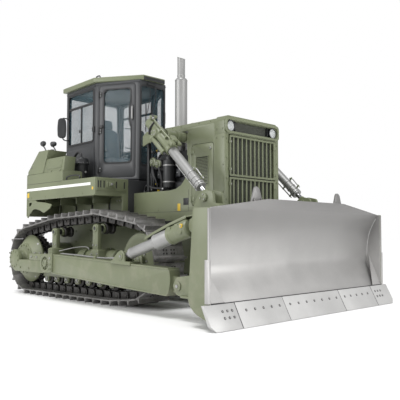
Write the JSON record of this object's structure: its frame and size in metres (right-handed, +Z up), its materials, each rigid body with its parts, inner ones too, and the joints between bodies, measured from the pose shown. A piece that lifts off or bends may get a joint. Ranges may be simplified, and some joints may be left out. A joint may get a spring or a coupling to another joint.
{
  "type": "bulldozer",
  "caption": "Tracked bulldozer with a straight tilting blade on push arms, lift cylinders at the hood and an angular cab.",
  "frame": {"origin": "centre of the ground footprint, on the ground", "axes": "+X to the machine's left, -Y to its front, +Z up"},
  "size_m": [4.13, 6.18, 4.1467],
  "materials": {
    "olive_paint": "satin",
    "charcoal_paint": "satin",
    "track_steel": "worn",
    "bare_steel": "brushed",
    "chrome_rod": "polished",
    "black_parts": "matt",
    "cab_glass": "clear",
    "seat_cloth": "woven"
  },
  "bodies": {
    "root": {"track_right": "track_steel", "track_left": "track_steel", "idler_right": "track_steel", "idler_left": "track_steel", "sprocket_right": "track_steel", "sprocket_left": "track_steel", "track_frame_right": "olive_paint", "track_frame_left": "olive_paint", "final_drive_right": "olive_paint", "final_drive_left": "olive_paint", "main_frame": "olive_paint", "rear_case": "olive_paint", "radiator_guard": "olive_paint", "grille_lower": "olive_paint", "lamp_band": "olive_paint", "hood_cover": "olive_paint", "hood_side_right": "olive_paint", "hood_side_left": "olive_paint", "cab_roof": "olive_paint", "fender_right": "olive_paint", "fender_left": "olive_paint", "fuel_tank": "olive_paint", "engine_block": "black_parts", "dash_console": "black_parts", "cab_base": "black_parts", "exhaust_stack": "bare_steel", "cab_shell": "charcoal_paint", "windscreen": "cab_glass", "rear_glass": "cab_glass", "side_glass_right": "cab_glass", "side_glass_left": "cab_glass", "operator_seat": "seat_cloth"},
    "lift_frame": {"arm_trunnion_right": "bare_steel", "arm_trunnion_left": "bare_steel"},
    "arm_right": {"push_arm_right": "olive_paint"},
    "arm_left": {"push_arm_left": "olive_paint"},
    "blade": {"mouldboard": "bare_steel", "blade_back_frame": "olive_paint", "cutting_edge": "bare_steel", "end_bit_right": "bare_steel", "end_bit_left": "bare_steel"},
    "tilt_cylinder": {"tilt_barrel": "olive_paint"},
    "tilt_ram": {"tilt_rod": "bare_steel"},
    "brace": {"tilt_brace": "olive_paint"},
    "grille_door": {"grille_upper": "olive_paint"},
    "lift_yoke_right": {"lift_yoke_right": "olive_paint"},
    "lift_cylinder_right": {"lift_barrel_right": "olive_paint"},
    "lift_tube_right": {"lift_ram_right": "bare_steel"},
    "lift_eye_right": {"lift_rod_right": "chrome_rod"},
    "cab_door_right": {"cab_door_right": "charcoal_paint", "door_glass_right": "cab_glass"},
    "hood_door_right": {"hood_door_right": "olive_paint"},
    "lift_yoke_left": {"lift_yoke_left": "olive_paint"},
    "lift_cylinder_left": {"lift_barrel_left": "olive_paint"},
    "lift_tube_left": {"lift_ram_left": "bare_steel"},
    "lift_eye_left": {"lift_rod_left": "chrome_rod"},
    "cab_door_left": {"cab_door_left": "charcoal_paint", "door_glass_left": "cab_glass"},
    "hood_door_left": {"hood_door_left": "olive_paint"}
  },
  "joints": [
    {"name": "blade_lift", "type": "hinge", "parent": "root", "child": "lift_frame", "pos_m": [0, 1.13, 0.612], "axis": [-1, 0, 0], "range_deg": [-3.5, 8.5]},
    {"name": "blade_tilt", "type": "hinge", "parent": "lift_frame", "child": "blade", "pos_m": [0, -2.087, 1.585], "axis": [0, 1, 0], "range_deg": [-4, 4]},
    {"name": "arm_sway_right", "type": "hinge", "parent": "lift_frame", "child": "arm_right", "pos_m": [-1.64, 1.13, 0.612], "axis": [-0.8192, 0, -0.5735], "range_deg": [-2.48, 2.48]},
    {"name": "lift_yoke_turn_right", "type": "hinge", "parent": "root", "child": "lift_yoke_right", "pos_m": [-1.1, -1.025, 2.588], "axis": [1, 0, 0], "range_deg": [-2.23, 2.23]},
    {"name": "lift_cylinder_turn_right", "type": "hinge", "parent": "lift_yoke_right", "child": "lift_cylinder_right", "pos_m": [-1.1, -1.025, 2.588], "axis": [-1, 0, 0], "range_deg": [-4.68, 11.16]},
    {"name": "lift_tube_slide_right", "type": "slide", "parent": "lift_cylinder_right", "child": "lift_tube_right", "axis": [0, -0.727, -0.6866], "range_m": [-0.4352, 0.1828]},
    {"name": "lift_eye_slide_right", "type": "slide", "parent": "lift_tube_right", "child": "lift_eye_right", "axis": [0, -0.727, -0.6866], "range_m": [-0.0537, 0.0537]},
    {"name": "arm_sway_left", "type": "hinge", "parent": "lift_frame", "child": "arm_left", "pos_m": [1.64, 1.13, 0.612], "axis": [0.8192, 0, -0.5735], "range_deg": [-2.48, 2.48]},
    {"name": "lift_yoke_turn_left", "type": "hinge", "parent": "root", "child": "lift_yoke_left", "pos_m": [1.1, -1.025, 2.588], "axis": [1, 0, 0], "range_deg": [-2.23, 2.23]},
    {"name": "lift_cylinder_turn_left", "type": "hinge", "parent": "lift_yoke_left", "child": "lift_cylinder_left", "pos_m": [1.1, -1.025, 2.588], "axis": [-1, 0, 0], "range_deg": [-4.68, 11.16]},
    {"name": "lift_tube_slide_left", "type": "slide", "parent": "lift_cylinder_left", "child": "lift_tube_left", "axis": [0, -0.727, -0.6866], "range_m": [-0.4352, 0.1828]},
    {"name": "lift_eye_slide_left", "type": "slide", "parent": "lift_tube_left", "child": "lift_eye_left", "axis": [0, -0.727, -0.6866], "range_m": [-0.0537, 0.0537]},
    {"name": "tilt_cylinder_turn", "type": "hinge", "parent": "blade", "child": "tilt_cylinder", "pos_m": [-1.67, -2.44, 1.215], "axis": [-0.9935, -0.0321, -0.1091], "range_deg": [-1.53, 1.53]},
    {"name": "tilt_ram_slide", "type": "slide", "parent": "tilt_cylinder", "child": "tilt_ram", "axis": [0, 0.9593, -0.2825], "range_m": [-0.0191, 0.0191]},
    {"name": "brace_turn", "type": "hinge", "parent": "blade", "child": "brace", "pos_m": [1.67, -2.44, 1.215], "axis": [0.9935, -0.0322, -0.1093], "range_deg": [-1.53, 1.53]},
    {"name": "cab_door_right_hinge", "type": "hinge", "parent": "root", "child": "cab_door_right", "pos_m": [-0.67754, 1.14631, 2.9], "axis": [0, 0, -1], "range_deg": [0, 95]},
    {"name": "cab_door_left_hinge", "type": "hinge", "parent": "root", "child": "cab_door_left", "pos_m": [0.67754, 1.14631, 2.9], "axis": [0, 0, 1], "range_deg": [0, 95]},
    {"name": "grille_door_hinge", "type": "hinge", "parent": "root", "child": "grille_door", "pos_m": [0.53, -1.922, 2.233], "axis": [0, 0, -1], "range_deg": [-100, 0]},
    {"name": "hood_door_right_hinge", "type": "hinge", "parent": "root", "child": "hood_door_right", "pos_m": [-0.622, -1.688, 1.98], "axis": [0, 0, 1], "range_deg": [0, 40]},
    {"name": "hood_door_left_hinge", "type": "hinge", "parent": "root", "child": "hood_door_left", "pos_m": [0.622, -1.688, 1.98], "axis": [0, 0, -1], "range_deg": [0, 40]}
  ],
  "couplings": [
    {"joint": "arm_sway_right", "follows": "blade_tilt", "ratio": 0.60814},
    {"joint": "lift_yoke_turn_right", "follows": "blade_tilt", "ratio": -0.54657},
    {"joint": "lift_cylinder_turn_right", "follows": "blade_lift", "ratio": 1.2943},
    {"joint": "lift_tube_slide_right", "follows": "blade_lift", "m_per_rad": -2.8926},
    {"joint": "lift_eye_slide_right", "follows": "blade_tilt", "m_per_rad": -0.75455},
    {"joint": "arm_sway_left", "follows": "blade_tilt", "ratio": 0.60814},
    {"joint": "lift_yoke_turn_left", "follows": "blade_tilt", "ratio": 0.54657},
    {"joint": "lift_cylinder_turn_left", "follows": "blade_lift", "ratio": 1.2943},
    {"joint": "lift_tube_slide_left", "follows": "blade_lift", "m_per_rad": -2.8926},
    {"joint": "lift_eye_slide_left", "follows": "blade_tilt", "m_per_rad": 0.75455},
    {"joint": "tilt_cylinder_turn", "follows": "blade_tilt", "ratio": 0.37472},
    {"joint": "tilt_ram_slide", "follows": "blade_tilt", "m_per_rad": 0.26796},
    {"joint": "brace_turn", "follows": "blade_tilt", "ratio": 0.37468}
  ]
}
